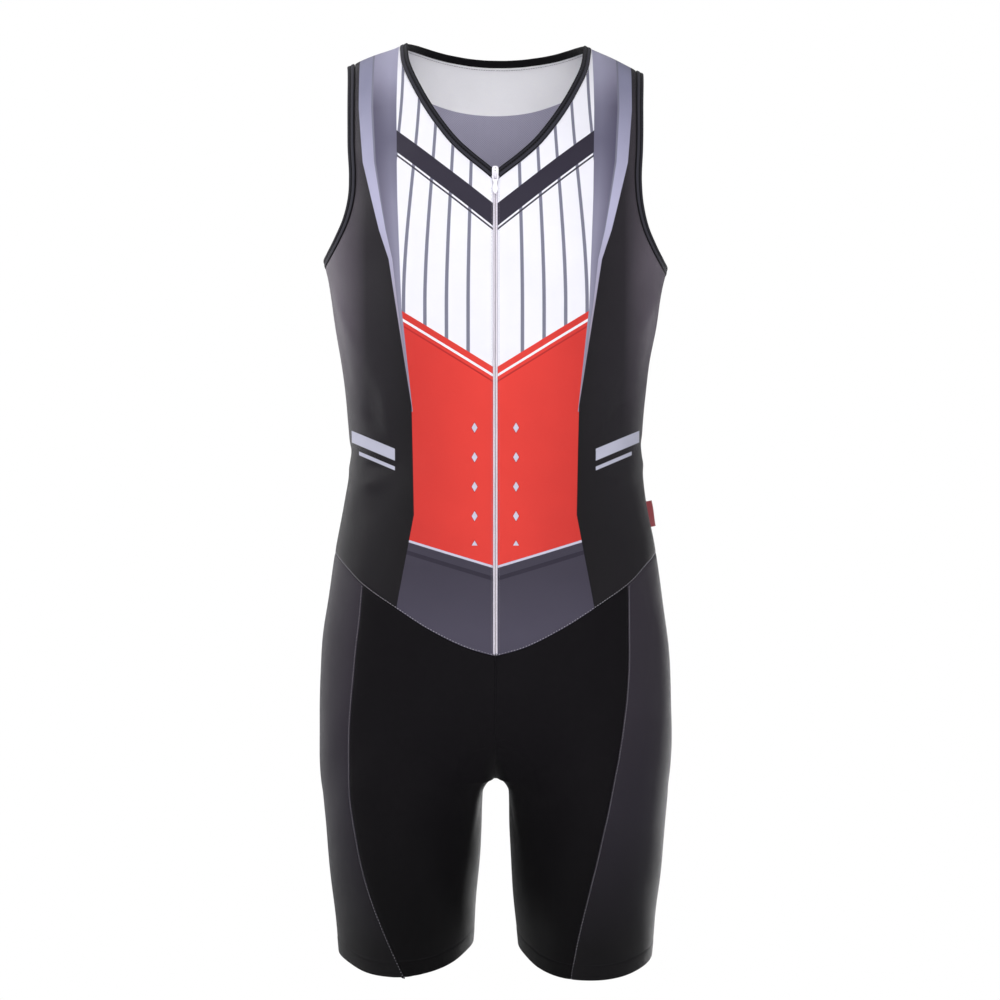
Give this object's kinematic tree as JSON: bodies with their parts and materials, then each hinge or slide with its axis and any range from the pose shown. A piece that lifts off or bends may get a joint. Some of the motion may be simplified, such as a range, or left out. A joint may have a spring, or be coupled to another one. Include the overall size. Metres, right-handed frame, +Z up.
{
  "type": "cycling skinsuit",
  "caption": "Sleeveless one-piece cycling suit in its worn, hollow shape, with a front zip to a pointed waist seam and fitted short legs.",
  "frame": {"origin": "midway between the shoulders at the height of the shoulder seams' middle, where the wearer's body carries the suit", "axes": "+Z up along the body, the front faces -Y, +X is the wearer's left"},
  "size_m": [0.3378, 0.2353, 0.8885],
  "materials": {
    "printed_front": "smooth printed polyester jersey",
    "black_jersey": "smooth printed polyester jersey with a soft sheen",
    "leg_black": "dense elastane knit with a soft sheen",
    "charcoal_jersey": "dense elastane knit with a soft sheen",
    "binding": "folded elastic binding",
    "zip_tape": "woven tape",
    "zip_teeth": "nylon coil",
    "zip_enamel": "white enamel",
    "label": "woven satin label"
  },
  "bodies": {
    "suit": {"front_left": "printed_front", "front_right": "printed_front", "back": "black_jersey", "short_front_left": "leg_black", "short_front_right": "leg_black", "short_side_left": "charcoal_jersey", "short_side_right": "charcoal_jersey", "short_back_left": "leg_black", "short_back_right": "leg_black", "neck_binding": "binding", "armhole_binding_left": "binding", "armhole_binding_right": "binding", "zip_tape_left": "zip_tape", "zip_tape_right": "zip_tape", "zip_chain": "zip_teeth", "zip_slider": "zip_enamel", "side_label": "label"},
    "pull": {"zip_pull": "zip_enamel"}
  },
  "joints": [
    {"name": "pull_swing", "type": "hinge", "parent": "suit", "child": "pull", "pos_m": [0, -0.10877, -0.12958], "axis": [-1, 0, 0], "range_deg": [0, 165]}
  ]
}
